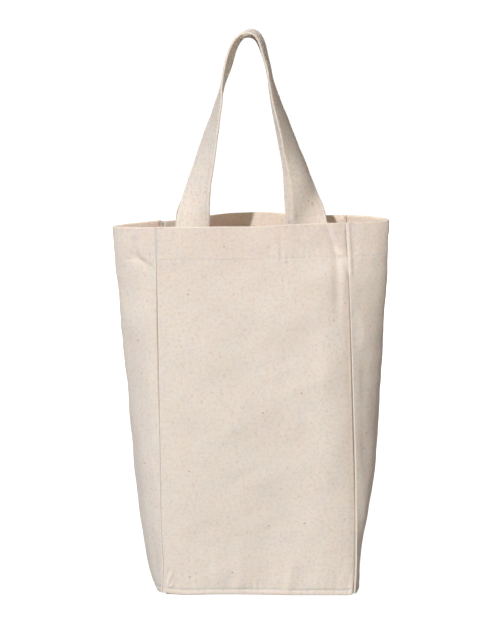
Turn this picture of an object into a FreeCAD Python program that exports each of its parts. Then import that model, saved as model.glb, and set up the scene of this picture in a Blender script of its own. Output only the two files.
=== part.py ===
import FreeCAD, Part
import math
import os

import Sketcher

# Two-bottle carrier of natural canvas, sewn from flat cut pieces, in millimetres.
# The origin is under the middle of the base, +Z is up and the front faces -Y.

driving_sizes = {
    # cloth and sewing
    "cloth_thickness": 0.8,
    "layer_ease": 0.3,
    "seam_lip": 3.5,
    "base_lip": 4.5,
    "hem_depth": 29.0,
    # body, edge to edge
    "front_width": 160.0,
    "body_height": 310.0,
    "gusset_depth": 85.0,
    # how far each panel's seams draw in from the base's depth
    "foot_height": 40.0,
    "foot_draw": 2.3,
    "waist_height": 155.0,
    "waist_draw": 9.5,
    "mouth_draw": 24.5,
    # how far the panels bow out from the line between their seams
    "base_bow": 1.0,
    "foot_bow": 1.5,
    "front_waist_bow": 2.0,
    "front_mouth_bow": 3.0,
    "back_waist_bow": 9.0,
    "back_mouth_bow": 18.0,
    # how far the slack partition between the two bottles stops below the hem
    "divider_drop": 2.0,
    # handles
    "strap_width": 28.0,
    "strap_thickness": 2.4,
    "strap_spacing": 97.0,
    "strap_sewn_depth": 26.0,
    "front_handle_rise": 160.0,
    "back_handle_rise": 155.0,
    "arch_radius": 12.0,
    "twist_height": 112.0,
    "handle_gap": 1.0,
}
leg_steps = 10
arch_steps = 10

doc = FreeCAD.newDocument("bottle_carrier")
sheet = doc.addObject("Spreadsheet::Sheet", "sizes")
for row, (name, value) in enumerate(driving_sizes.items(), start=1):
    sheet.set("A%d" % row, name)
    sheet.set("B%d" % row, str(value))
    sheet.setAlias("B%d" % row, name)
doc.recompute()


class Size:
    # A length held as a number and as the sheet formula that gives it.

    def __init__(self, number, formula):
        self.number = number
        self.formula = formula

    def with_sign(self, sign, other, number):
        return Size(number, "(%s %s %s)" % (self.formula, sign, other.formula))

    def __add__(self, other):
        return self.with_sign("+", other, self.number + other.number)

    def __sub__(self, other):
        return self.with_sign("-", other, self.number - other.number)

    def __mul__(self, other):
        other = as_size(other)
        return self.with_sign("*", other, self.number * other.number)

    def __truediv__(self, other):
        other = as_size(other)
        return self.with_sign("/", other, self.number / other.number)

    def __neg__(self):
        return Size(-self.number, "(-1 * %s)" % self.formula)

    def root(self):
        return Size(math.sqrt(self.number), "sqrt(%s)" % self.formula)


def as_size(number):
    return number if isinstance(number, Size) else Size(float(number), str(number))


def size(name):
    return Size(float(getattr(sheet, name)), "sizes." + name)


def between(low, high, share):
    return low + (high - low) * share


nothing = as_size(0)
cloth = size("cloth_thickness")
ease = size("layer_ease")
body_height = size("body_height")
foot_height = size("foot_height")
waist_height = size("waist_height")
hem_height = body_height - size("hem_depth")
hem_share = (hem_height - waist_height) / (body_height - waist_height)

# The stitched corner lines stand a lip inside the panels' edges.
half_width = size("front_width") / 2
stitch_x = half_width - size("seam_lip")
half_gusset = size("gusset_depth") / 2

# The seam line's distance from the middle plane at each level.
seam_foot = half_gusset - size("foot_draw")
seam_waist = half_gusset - size("waist_draw")
seam_mouth = half_gusset - size("mouth_draw")
seam_hem = between(seam_waist, seam_mouth, hem_share)


def panel_levels(waist_bow, mouth_bow):
    # Height, seam distance and bow of a panel from its base to its rim.
    return [
        (nothing, half_gusset, size("base_bow")),
        (foot_height, seam_foot, size("foot_bow")),
        (waist_height, seam_waist, waist_bow),
        (hem_height, seam_hem, between(waist_bow, mouth_bow, hem_share)),
        (body_height, seam_mouth, mouth_bow),
    ]


front_levels = panel_levels(size("front_waist_bow"), size("front_mouth_bow"))
back_levels = panel_levels(size("back_waist_bow"), size("back_mouth_bow"))


def new_body(label):
    body = doc.addObject("PartDesign::Body", label)
    body.Label = label
    return body


def ground_plane(body):
    return [plane for plane in body.Origin.OriginFeatures if plane.Role == "XY_Plane"][0]


def vector(point):
    return FreeCAD.Vector(point[0].number, point[1].number, 0)


def closed_sketch(body, name, height, corners, centres):
    # An outline at a height, through its corners in order. A side whose number is in centres
    # is an arc about that centre, and every other side is straight.
    sketch = body.newObject("Sketcher::SketchObject", name)
    sketch.AttachmentSupport = [(ground_plane(body), "")]
    sketch.MapMode = "FlatFace"
    sketch.setExpression("AttachmentOffset.Base.z", height.formula)
    sides = []
    for number, corner in enumerate(corners):
        following = corners[(number + 1) % len(corners)]
        if number in centres:
            sides.append(add_arc(sketch, vector(corner), vector(following), vector(centres[number])))
        else:
            line = Part.LineSegment(vector(corner), vector(following))
            sides.append((sketch.addGeometry(line, False), 1, 2))
    for number, (side, near, far) in enumerate(sides):
        next_side, next_near, next_far = sides[(number + 1) % len(sides)]
        sketch.addConstraint(Sketcher.Constraint("Coincident", side, far, next_side, next_near))
        hold(sketch, "DistanceX", side, near, corners[number][0])
        hold(sketch, "DistanceY", side, near, corners[number][1])
        if number in centres:
            hold(sketch, "DistanceY", side, 3, centres[number][1])
    return sketch


def add_arc(sketch, start, end, centre):
    # An arc runs anticlockwise, so one that turns the other way is added from its far end.
    circle = Part.Circle(centre, FreeCAD.Vector(0, 0, 1), (start - centre).Length)
    first = math.atan2(start.y - centre.y, start.x - centre.x)
    last = math.atan2(end.y - centre.y, end.x - centre.x)
    if (last - first) % math.tau < math.pi:
        return (sketch.addGeometry(Part.ArcOfCircle(circle, first, last), False), 1, 2)
    return (sketch.addGeometry(Part.ArcOfCircle(circle, last, first), False), 2, 1)


def hold(sketch, direction, side, point, distance):
    number = sketch.addConstraint(Sketcher.Constraint(direction, side, point, distance.number))
    sketch.setExpression("Constraints[%d]" % number, distance.formula)


def add_loft(body, name, sketches):
    loft = body.newObject("PartDesign::AdditiveLoft", name)
    loft.Profile = sketches[0]
    loft.Sections = sketches[1:]
    return loft


def bow_radius(half_chord, bow):
    return (half_chord * half_chord + bow * bow) / (bow * 2)


def gusset_wall(seam):
    # The gusset's thickness measured across the bag, where it slants out to its crease.
    return cloth * half_gusset / seam


def bowed_edge(seam, bow, inset, reach):
    # Where a panel's bowed layer, inset from its face, stands at a reach from the middle.
    radius = bow_radius(stitch_x, bow)
    centre = seam + bow - radius - inset
    return centre, centre + (radius * radius - reach * reach).root()


def make_panel(label, levels, towards):
    # The front or back wall: a bowed sheet between two flat seam lips, with its hem turned in.
    body = new_body(label)
    wall = []
    for number, (height, seam, bow) in enumerate(levels):
        centre, outer = bowed_edge(seam, bow, nothing, stitch_x)
        inner_centre, inner = bowed_edge(seam, bow, cloth, stitch_x)
        corners = [
            (-half_width, outer * towards),
            (-stitch_x, outer * towards),
            (stitch_x, outer * towards),
            (half_width, outer * towards),
            (half_width, inner * towards),
            (stitch_x, inner * towards),
            (-stitch_x, inner * towards),
            (-half_width, inner * towards),
        ]
        arcs = {
            1: (nothing, centre * towards),
            5: (nothing, inner_centre * towards),
        }
        wall.append(closed_sketch(body, "%s_level_%d" % (label, number), height, corners, arcs))
    add_loft(body, label + "_wall", wall)
    hem = []
    hem_x = stitch_x - gusset_wall(seam_mouth) * 2 - ease
    for number, (height, seam, bow) in enumerate(levels[-2:]):
        centre, outer = bowed_edge(seam, bow, cloth / 2, hem_x)
        inner_centre, inner = bowed_edge(seam, bow, cloth * 2, hem_x)
        corners = [
            (-hem_x, outer * towards),
            (hem_x, outer * towards),
            (hem_x, inner * towards),
            (-hem_x, inner * towards),
        ]
        arcs = {
            0: (nothing, centre * towards),
            2: (nothing, inner_centre * towards),
        }
        hem.append(closed_sketch(body, "%s_hem_%d" % (label, number), height, corners, arcs))
    add_loft(body, label + "_hem", hem)
    return body


def gusset_outline(seam, crease, thick):
    # Half width first: the lip behind the front panel's lip, the crease, and the other half.
    reach = seam - cloth - ease
    groove = stitch_x + (crease - stitch_x) * cloth / reach
    lip = [(half_width, -reach), (half_width, cloth - reach), (groove, cloth - reach)]
    far_lip = [(across, -along) for across, along in reversed(lip)]
    inside = [(stitch_x - thick, reach), (crease - thick, nothing), (stitch_x - thick, -reach)]
    return lip + [(crease, nothing)] + far_lip + inside


def hem_outline(seam, crease, thick):
    # The turned-in layer, from the middle of the wall's cloth to one cloth inside it.
    reach = seam - cloth - ease
    outside = [(stitch_x, -reach), (crease, nothing), (stitch_x, reach)]
    outer = [(across - thick / 2, along) for across, along in outside]
    inner = [(across - thick * 2, along) for across, along in reversed(outside)]
    return outer + inner


def make_gusset(label, towards):
    # A side wall: lips behind the two panels' lips, and a sheet creased outward between them.
    body = new_body(label)

    def sketches(part, outline, levels):
        made = []
        for number, (height, seam, bow) in enumerate(levels):
            crease = stitch_x + (half_gusset * half_gusset - seam * seam).root()
            corners = outline(seam, crease, gusset_wall(seam))
            corners = [(across * towards, along) for across, along in corners]
            made.append(closed_sketch(body, "%s_%s_%d" % (label, part, number), height, corners, {}))
        return made

    add_loft(body, label + "_wall", sketches("level", gusset_outline, front_levels))
    add_loft(body, label + "_hem", sketches("hem", hem_outline, front_levels[-2:]))
    return body


def make_bottom():
    # The base: a flat rectangle whose edges turn up inside the walls.
    body = new_body("bottom_panel")
    base_x = stitch_x - cloth - ease
    base_y = half_gusset - cloth - ease * 2
    outline = rectangle(body, "base_outline", nothing, base_x, base_y)
    tray = body.newObject("PartDesign::Pad", "base_tray")
    tray.Profile = outline
    tray.setExpression("Length", size("base_lip").formula)
    hollow = rectangle(body, "base_hollow", size("base_lip"), base_x - cloth, base_y - cloth)
    pocket = body.newObject("PartDesign::Pocket", "base_pocket")
    pocket.Profile = hollow
    pocket.setExpression("Length", (size("base_lip") - cloth).formula)
    return body


def rectangle(body, name, height, half_x, half_y):
    corners = [(-half_x, -half_y), (half_x, -half_y), (half_x, half_y), (-half_x, half_y)]
    return closed_sketch(body, name, height, corners, {})


def make_divider():
    # The partition: cut as deep as the base, so that it folds to one side where the bag draws in.
    body = new_body("divider")
    half_cut = half_gusset - cloth * 2 - ease * 3
    seated = seam_hem - cloth - ease
    front_bow = front_levels[-2][2]
    back_bow = back_levels[-2][2]
    rows = [
        (cloth + ease, -half_cut, half_cut),
        (hem_height - size("divider_drop"), -seated - front_bow, seated + back_bow),
    ]
    sections = []
    for number, (height, front, back) in enumerate(rows):
        half_chord = (back - front) / 2
        fold = (half_cut * half_cut - half_chord * half_chord).root()
        line = [(nothing, front), (fold, (front + back) / 2), (nothing, back)]
        thick = cloth * half_cut / half_chord
        far_side = [(across + thick, along) for across, along in reversed(line)]
        sections.append(closed_sketch(body, "divider_level_%d" % number, height, line + far_side, {}))
    add_loft(body, "divider_sheet", sections)
    return body


def strap_seat(seam, bow):
    # Distance of a strap's middle from the middle plane, inside the hem, and the panel's slope there.
    radius = bow_radius(stitch_x, bow)
    reach = size("strap_spacing") / 2
    half_strap = size("strap_width") / 2
    hem_face = bowed_edge(seam, bow, cloth * 2, reach)[1]
    flatness = half_strap * half_strap / (radius * 2)
    seat = hem_face - ease * 2 - flatness - size("strap_thickness") / 2
    return seat.number, math.asin(reach.number / radius.number)


def strap_section(centre, across, through):
    # The strap's cut end, from its half width across and half thickness through.
    corners = [centre + across + through, centre - across + through,
               centre - across - through, centre + across - through]
    return Part.makePolygon(corners + corners[:1])


def leg_section(leg, towards, x, distance, z, turn):
    # A level cut through a leg that has turned from the panel's plane towards the arch.
    half_across = size("strap_width").number / 2
    half_thick = size("strap_thickness").number / 2
    across = FreeCAD.Vector(leg * math.cos(turn), -towards * math.sin(turn), 0) * half_across
    through = FreeCAD.Vector(leg * math.sin(turn), towards * math.cos(turn), 0) * half_thick
    return strap_section(FreeCAD.Vector(leg * x, towards * distance, z), across, through)


def make_strap_ends(label, levels, towards):
    # The two strap ends, sewn flat inside the hem up to the rim.
    seat_hem = strap_seat(levels[-2][1], levels[-2][2])[0]
    seat_rim, slope = strap_seat(levels[-1][1], levels[-1][2])
    sewn_share = size("strap_sewn_depth").number / size("hem_depth").number
    seat_low = seat_rim + (seat_hem - seat_rim) * sewn_share
    rim = body_height.number
    reach = size("strap_spacing").number / 2
    ends = []
    for leg in (-1, 1):
        low = leg_section(leg, towards, reach, seat_low, rim - size("strap_sewn_depth").number, slope)
        high = leg_section(leg, towards, reach, seat_rim, rim, slope)
        ends.append(Part.makeLoft([low, high], True, True))
    return add_shape(label, Part.makeCompound(ends))


def make_handle(label, levels, towards, rise):
    # The free loop: each leg leaves the rim flat to its panel and turns a quarter turn on its way
    # to the arch, where the strap stands on edge beside the other handle's.
    seat, slope = strap_seat(levels[-1][1], levels[-1][2])
    rim = body_height.number
    foot = rim + ease.number
    half_thick = size("strap_thickness").number / 2
    half_across = size("strap_width").number / 2
    reach = size("strap_spacing").number / 2
    radius = size("arch_radius").number
    arch_z = rim + rise.number - half_thick - radius
    rise_to_arch = arch_z - foot
    apex_distance = size("handle_gap").number / 2 + half_across
    tilt = math.acos(radius / math.hypot(reach, rise_to_arch)) - math.atan2(rise_to_arch, reach)
    spring_x = radius * math.cos(tilt)
    spring_z = arch_z + radius * math.sin(tilt)

    def distance_at(z):
        return seat + (apex_distance - seat) * (z - foot) / (arch_z + radius - foot)

    def leg_at(leg, step):
        share = step / leg_steps
        z = foot + (spring_z - foot) * share
        twist_share = min(1, (z - foot) / size("twist_height").number)
        turn = slope + (math.pi / 2 - slope) * math.sin(twist_share * math.pi / 2)
        return leg_section(leg, towards, reach + (spring_x - reach) * share, distance_at(z), z, turn)

    def arch_at(step):
        angle = tilt + (math.pi - 2 * tilt) * step / arch_steps
        outward = FreeCAD.Vector(math.cos(angle), 0, math.sin(angle))
        z = arch_z + radius * math.sin(angle)
        centre = FreeCAD.Vector(radius * math.cos(angle), towards * distance_at(z), z)
        return strap_section(centre, FreeCAD.Vector(0, -towards * half_across, 0), outward * half_thick)

    right = [leg_at(1, step) for step in range(leg_steps)]
    arch = [arch_at(step) for step in range(arch_steps + 1)]
    left = [leg_at(-1, step) for step in reversed(range(leg_steps))]
    return add_shape(label, Part.makeLoft(right + arch + left, True, True))


def add_shape(label, shape):
    piece = doc.addObject("Part::Feature", label)
    piece.Label = label
    piece.Shape = shape
    piece.Placement = FreeCAD.Placement()
    return piece


pieces = [
    make_panel("front_panel", front_levels, -1),
    make_panel("back_panel", back_levels, 1),
    make_gusset("left_gusset", -1),
    make_gusset("right_gusset", 1),
    make_bottom(),
    make_divider(),
    make_strap_ends("front_handle_ends", front_levels, -1),
    make_strap_ends("back_handle_ends", back_levels, 1),
    make_handle("front_handle", front_levels, -1, size("front_handle_rise")),
    make_handle("back_handle", back_levels, 1, size("back_handle_rise")),
]
doc.recompute()

for item in doc.Objects:
    if "Invalid" in item.State or "Error" in item.State:
        raise RuntimeError("%s failed: %s" % (item.Label, item.State))
for piece in pieces:
    if piece.Shape.isNull() or not piece.Shape.isValid():
        raise RuntimeError("%s has no valid shape" % piece.Label)

os.makedirs("parts", exist_ok=True)
for piece in pieces:
    piece.Shape.exportStep("parts/%s.step" % piece.Label)
    print("%-18s solids %d, volume %.0f mm3" % (piece.Label, len(piece.Shape.Solids), piece.Shape.Volume))
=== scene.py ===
import bpy
import math
import numpy as np
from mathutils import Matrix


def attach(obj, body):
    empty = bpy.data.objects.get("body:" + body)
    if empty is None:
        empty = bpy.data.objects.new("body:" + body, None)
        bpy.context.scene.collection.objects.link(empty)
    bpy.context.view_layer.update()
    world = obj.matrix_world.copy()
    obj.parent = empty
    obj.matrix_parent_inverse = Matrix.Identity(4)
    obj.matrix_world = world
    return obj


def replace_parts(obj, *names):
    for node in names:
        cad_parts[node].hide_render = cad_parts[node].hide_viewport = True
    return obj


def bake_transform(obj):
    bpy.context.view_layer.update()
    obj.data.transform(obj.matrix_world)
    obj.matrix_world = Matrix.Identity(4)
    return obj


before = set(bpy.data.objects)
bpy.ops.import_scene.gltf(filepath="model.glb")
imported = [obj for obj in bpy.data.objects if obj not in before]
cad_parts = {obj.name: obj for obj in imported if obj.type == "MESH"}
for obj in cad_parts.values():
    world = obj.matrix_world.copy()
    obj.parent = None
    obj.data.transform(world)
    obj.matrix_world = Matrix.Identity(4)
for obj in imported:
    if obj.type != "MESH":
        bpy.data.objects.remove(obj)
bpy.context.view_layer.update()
scene = bpy.context.scene
mm = 0.001  # shapes are worked out in millimetres and scaled when a mesh is made
print("frame loaded:", ", ".join(sorted(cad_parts)))

cloth = {
    "width": 160.0,
    "height": 310.0,
    "thickness": 0.9,
    "hemDepth": 29.0,  # the layer turned in at the rim
    "hemExtra": 1.1,
    "hemTurn": 18.0,  # its raw edge, showing faintly through
    "hemStitch": 27.5,  # its row of stitches, below the rim
    "baseLip": 4.3,  # the edge of the base turned up inside, and its row of stitches
    "baseExtra": 0.7,
    "hemPull": (0.24, 0.7),  # how deep and how wide a row of stitches draws the cloth in
    "basePull": (0.60, 0.8),
    "hemProud": 0.10,  # how far the layers inside push the outside out
    "baseProud": 0.25,
    "rimRound": 1.1,
    "footRound": 0.8,
    "seamTurnIn": 4.5,  # cloth behind a seam
    "turnInSteps": 5,
    # how round a wall rolls into its seam, as (height, radius)
    "leftRoll": [(0, 0.6), (60, 0.5), (120, 0.7), (270, 0.7), (278, 0.4), (283, 0.2), (310, 0.2)],
    "rightRoll": [(0, 0.6), (60, 0.5), (150, 0.45), (240, 0.4), (266, 0.6), (280, 1.2), (310, 1.4)],
    "frontRightRoll": [(0, 1.9), (60, 1.8), (150, 1.5), (240, 0.9), (270, 0.5), (310, 0.4)],
    # the slit along a seam, as (height, width)
    "leftGap": [(0, 0.10), (100, 0.08), (276, 0.08), (310, 0.06)],
    "rightGap": [(0, 0.9), (40, 1), (90, 0.85), (150, 0.6), (240, 0.35), (270, 0.15), (310, 0.06)],
}
cutFrom = {  # every piece has its own stretch of cloth, so that the flecks fall differently
    "frontPanel": 0, "rightGusset": 200, "backPanel": 400, "leftGusset": 600,
    "bottomPanel": 900, "bottleDivider": 1100, "frontStrap": 1400, "backStrap": 1500,
}

bagShape = {  # lists of (height, value), unless a note says otherwise
    "seamDepth": [(0, 42.5), (40, 39.2), (155, 31.8), (281, 20.6), (310, 18)],
    "leftEdge": [(0, -73.8), (8, -73.4), (26, -72.8), (40, -73.6), (60, -74.6), (95, -75), (227, -77.3),
                 (310, -78.5)],
    "rightEdge": [(0, 85.2), (14, 86.2), (47, 86.8), (95, 86.5), (164, 84.5), (227, 82.5), (282, 80.2),
                  (310, 78.6)],
    "leftCrease": [(0, -80.3), (8, -84.6), (17, -86.8), (38, -90.2), (58, -93), (79, -95.8), (121, -100),
                   (162, -103.3), (203, -107), (244, -110.8), (285, -114.6), (310, -115.7)],
    "rightCrease": [(0, 91.2), (8, 92), (17, 92.3), (28, 92.6), (38, 93.4), (50, 95.8), (59, 98.5), (79, 102.3),
                    (121, 105.2), (162, 107.7), (203, 110.7), (244, 112.8), (285, 114.8), (310, 115.8)],
    # how full a gusset is
    "leftPower": [(0, 2.2), (40, 2.3), (100, 2.2), (200, 2), (240, 1.9), (275, 1.4), (310, 1.2)],
    "rightPower": [(0, 2.6), (40, 3.2), (75, 3.6), (100, 3.2), (130, 2.6), (155, 2.3), (200, 1.8), (240, 1.5),
                   (275, 1.35), (310, 1.3)],
    # how round its crease is
    "leftSoft": [(0, 0.1), (200, 0.1), (275, 0.28), (310, 0.30)],
    "rightSoft": [(0, 0.1), (100, 0.12), (155, 0.25), (200, 0.3), (240, 0.5), (275, 0.75), (310, 0.8)],
    "frontBow": [(0, 1), (12, 1.8), (40, 3), (90, 4.8), (155, 5.6), (250, 4), (281, 2.6), (310, 2.4)],
    "backBow": [(0, 1), (12, 2.6), (40, 4.4), (155, 9), (310, 15)],
    "frontReach": (60.0, 26.0),  # how far from its first and its last seam a panel goes on curving
    "backReach": (76.0, 70.0),
    "backFlare": (7.0, 280, 318),  # how far the back rim falls open, and the heights over which it does
    "backLeftInset": [(0, 0), (200, 0), (281, 2.6), (310, 3.6)],
    "frontRightInset": [(0, 0), (215, 0), (262, 1), (292, 5), (310, 5.4)],
    "rightTurns": [  # the front turns away before its right seam: depth, width, where it fades, where it grows
        (2.6, 30.0, (240, 276), (36, 110)),
        (1.5, 7.0, (256, 276), (2, 20)),
    ],
    "footLift": {"left": 2.4, "right": 1.2},
    "frontFoot": [  # (across from the left edge, lift)
        (0, 2.6), (6, 1.5), (16, 0.3), (24, 0.2), (36, 0.7), (88, 0.6), (104, 0.2), (140, 0.1), (150, 0), (156, 0),
        (160, 0.5),
    ],
    "rimLine": {  # (share of the way, rise): panels from left to right, gussets from front to back
        "front": [(0, -2.8), (0.1, -2.5), (0.28, -2), (0.48, -2.1), (0.54, -1.9), (0.62, -1), (0.7, -0.3),
                  (0.9, 0.2), (1, 0)],
        "back": [(0, -2.6), (0.05, -2.7), (0.1, -2.2), (0.29, 0.3), (0.4, 1.6), (0.5, 2), (0.6, 1.7), (0.68, 1.1),
                 (0.89, 1.2), (1, 2.6)],
        "left": [(0, -2.8), (0.25, -3.8), (0.5, -4.6), (0.75, -3), (1, -1.6)],
        "right": [(0, 0), (0.25, 0.8), (0.5, 1.3), (0.75, 2), (1, 2.6)],
    },
}


def smoothLine(table, at):  # a smooth line through pairs of (place, value)
    places, values = np.array(table, float).T
    slopes = np.gradient(values, places)
    at = np.clip(np.asarray(at, float), places[0], places[-1])
    i = np.clip(np.searchsorted(places, at) - 1, 0, len(places) - 2)
    gap = places[i + 1] - places[i]
    t = (at - places[i]) / gap
    rise = values[i + 1] - values[i]
    startPull = slopes[i] * gap - rise
    endPull = rise - slopes[i + 1] * gap
    return values[i] + t * rise + t * (1 - t) * (startPull * (1 - t) + endPull * t)


def bagLine(kind, at):
    return smoothLine(bagShape[kind], at)


def ease(value, low, high):  # 0 below low, 1 above high
    t = np.clip((np.asarray(value, float) - low) / (high - low), 0, 1)
    return t * t * (3 - 2 * t)


def bell(value, centre, width):  # a hump of height 1
    return np.exp(-((value - centre) / width) ** 2)


def ripples(u, v, seed, height, count, shortest, longest):  # gentle random waves
    draw = np.random.default_rng(seed)
    total = np.zeros(np.shape(u))
    for _ in range(count):
        length = draw.uniform(shortest, longest)
        angle = draw.uniform(0, math.pi)
        start = draw.uniform(0, math.tau)
        total += np.sin((u * math.cos(angle) + v * math.sin(angle)) * math.tau / length + start)
    return height * (total / math.sqrt(count / 2))


def softFold(u, v, start, end, width, height, fade):  # a ridge along a line, or a hollow with a negative height
    (u0, v0), (u1, v1) = start, end
    span = math.hypot(u1 - u0, v1 - v0)
    along = ((u - u0) * (u1 - u0) + (v - v0) * (v1 - v0)) / span
    aside = ((u - u0) * (v1 - v0) - (v - v0) * (u1 - u0)) / span
    over = np.maximum(np.maximum(-along, along - span), 0) / fade
    return height * bell(aside, 0, width) * np.exp(-over ** 2)


def roundEdge(distance, reach):  # share of the thickness left close to a folded edge
    t = np.clip(distance / reach, 0, 1)
    return np.maximum(np.sqrt(1 - (1 - t) ** 2), 0.04)  # never quite closed


def spread(length, lead, step):  # places along a length, closer together near both ends
    middle = length - 2 * lead[-1]
    inner = np.linspace(lead[-1], length - lead[-1], max(2, round(middle / step)) + 1)[1:-1]
    return np.concatenate([lead, inner, length - np.array(lead[::-1])])


def walked(*axes):  # distance walked along each line of points
    steps = np.sqrt(sum(np.diff(axis) ** 2 for axis in axes))
    return np.concatenate([np.zeros_like(steps[..., :1]), np.cumsum(steps, -1)], -1)


def unit(vectors):
    return vectors / np.maximum(np.linalg.norm(vectors, axis=-1, keepdims=True), 1e-9)


def gridNormals(grid):
    return unit(np.cross(np.gradient(grid, axis=1), np.gradient(grid, axis=0)))


def closedEdges(outer, inner, shares):  # brings the two faces together where a share is small
    middle, half = (outer + inner) / 2, (outer - inner) / 2
    for share in shares:
        half = half * share
    return middle + half, middle - half


def newMesh(name, points, faces, uv, *materials):
    mesh = bpy.data.meshes.new(name)
    mesh.from_pydata((points * mm).tolist(), [], faces.tolist())
    corners = np.zeros(len(mesh.loops), int)
    mesh.loops.foreach_get("vertex_index", corners)
    layer = mesh.uv_layers.new(name="cloth")
    layer.data.foreach_set("uv", (uv[corners] * mm).astype(np.float32).ravel())
    mesh.polygons.foreach_set("use_smooth", np.ones(len(mesh.polygons), bool))
    for material in materials:
        mesh.materials.append(material)
    mesh.update()
    piece = bpy.data.objects.new(name, mesh)
    scene.collection.objects.link(piece)
    return piece


def sheetPiece(name, grid, outer, inner, uv, *materials):  # a closed sheet between an outer and an inner face
    normals = gridNormals(grid)
    faceOut = grid + normals * outer[..., None]
    faceIn = grid + normals * inner[..., None]
    rows, columns = outer.shape
    place = np.arange(rows * columns).reshape(rows, columns)
    low, high = place[:-1], place[1:]
    front = np.stack([low[:, :-1], low[:, 1:], high[:, 1:], high[:, :-1]], -1).reshape(-1, 4)
    behind = front[:, ::-1] + place.size
    rim = np.concatenate([place[0, :], place[1:, -1], place[-1, -2::-1], place[-2:0:-1, 0]])
    after = np.roll(rim, -1)
    edge = np.stack([rim, rim + place.size, after + place.size, after], -1)
    points = np.concatenate([faceOut.reshape(-1, 3), faceIn.reshape(-1, 3)])
    piece = newMesh(name, points, np.concatenate([front, behind, edge]), np.tile(uv.reshape(-1, 2), (2, 1)), *materials)
    side = np.zeros(len(piece.data.polygons), np.int32)
    side[len(front):len(front) * 2] = len(materials) - 1  # the inside faces get a warmer copy of the canvas, painted shade for the bag's shadowed inside
    piece.data.polygons.foreach_set("material_index", side)
    return piece, faceOut, faceIn


# materials

canvasLook = {
    "colour": (0.796, 0.713, 0.657),
    "paler": (0.820, 0.743, 0.687),
    "deeper": (0.696, 0.611, 0.543),
    "fleck": (0.230, 0.150, 0.085),
    "pitch": 0.00078,  # metres between neighbouring yarns
    "wander": (260.0, 1.6),  # how finely and how far the yarns wander
    "slubs": [(1100.0, 70.0), (60.0, 1100.0)],  # thicker stretches of yarn, how finely across and along
    "noise": {  # scale, detail, roughness
        "patches": (26.0, 4.0, 0.6),
        "grain": (850.0, 2.0, 0.5),
        "mottle": (360.0, 3.0, 0.65),
    },
    "patches": (0.35, 0.68),  # where the paler colour starts and where it is full
    "deepen": {  # the same for the deeper colour, with its share at both places
        "slubs": (1.06, 1.42, 0.0, 0.55),
        # painted shade: the gaps between the yarns take the deeper colour
        "weave": (0.0, 0.5, 0.34, 0.0),
        "grain": (0.45, 0.75, 0.0, 0.22),
        "mottle": (0.46, 0.68, 0.0, 0.7),
    },
    "flecks": [  # scale, stretch, size in metres, share left plain, strength
        (230.0, (1.0, 0.8, 1.0), 0.00060, 0.80, 0.20),
        (115.0, (1.0, 0.7, 1.0), 0.00125, 0.55, 0.12),
        (40.0, (0.8, 1.0, 1.0), 0.00085, 0.83, 0.6),
    ],
    "weaveDepth": 0.00022,
    "bump": (0.55, 0.75, 0.45),  # strength, share of the weave, share of the slubs
    "roughness": (0.98, 0.88),  # between the yarns and on them
    "finish": {
        "Subsurface Weight": 0.6,  # share of the light that passes into the cloth
        "Subsurface Radius": (1.0, 0.62, 0.36),
        "Subsurface Scale": 0.0016,
        "Sheen Weight": 0.10,
        "Sheen Roughness": 0.5,
        "Specular IOR Level": 0.18,
    },
}


def linkedNode(tree, kind, inputs=(), **settings):
    node = tree.nodes.new(kind)
    for key, value in settings.items():
        setattr(node, key, value)
    for key, value in inputs:
        if isinstance(value, bpy.types.NodeSocket):
            tree.links.new(value, node.inputs[key])
        else:
            node.inputs[key].default_value = value
    return node


def newMaterial(name, finish):
    material = bpy.data.materials.new(name)
    material.use_nodes = True
    tree = material.node_tree
    shader = tree.nodes["Principled BSDF"]
    for socket, value in finish.items():
        shader.inputs[socket].default_value = value
    return material, tree, shader


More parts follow.
